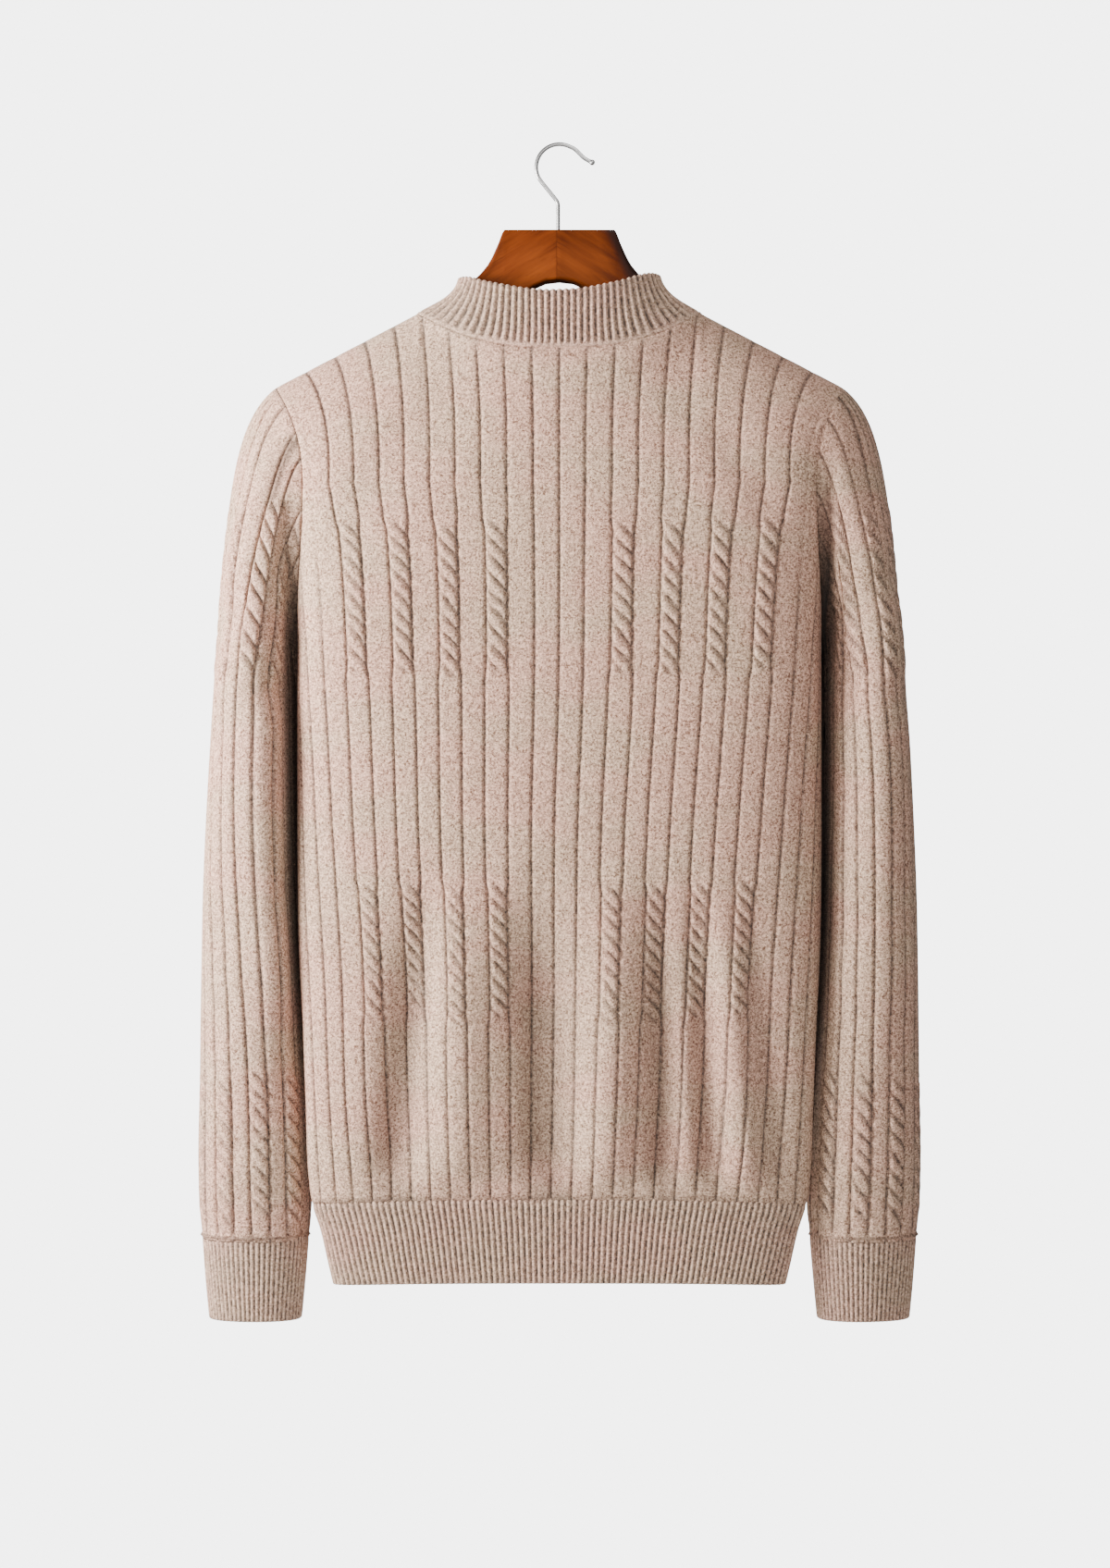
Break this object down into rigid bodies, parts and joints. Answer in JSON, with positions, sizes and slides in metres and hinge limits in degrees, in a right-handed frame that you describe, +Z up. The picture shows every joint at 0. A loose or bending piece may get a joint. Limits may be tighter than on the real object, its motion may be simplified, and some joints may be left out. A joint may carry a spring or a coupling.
{
  "type": "mock neck sweater on a wooden hanger",
  "caption": "Long-sleeved knitted sweater with a low standing collar, ribbed hem and cuffs, hung on a shaped wooden hanger with a wire hook.",
  "frame": {"origin": "inner top of the hook's bend, where it rests on a rail", "axes": "+Z up; -Y out of the shown side of the sweater, +Y out of the other side; +X to the right of someone who faces the shown side"},
  "size_m": [0.5291, 0.1352, 0.8598],
  "materials": {
    "wool": "soft oatmeal melange knit",
    "rib_wool": "oatmeal melange rib knit",
    "wood": "varnished red-brown wood",
    "hook_steel": "polished wire"
  },
  "bodies": {
    "root": {"front": "wool", "back": "wool", "sleeve_left": "wool", "sleeve_right": "wool", "hem_rib_front": "rib_wool", "hem_rib_back": "rib_wool", "cuff_left": "rib_wool", "cuff_right": "rib_wool", "collar": "rib_wool", "hanger": "wood", "hook": "hook_steel"}
  },
  "joints": []
}
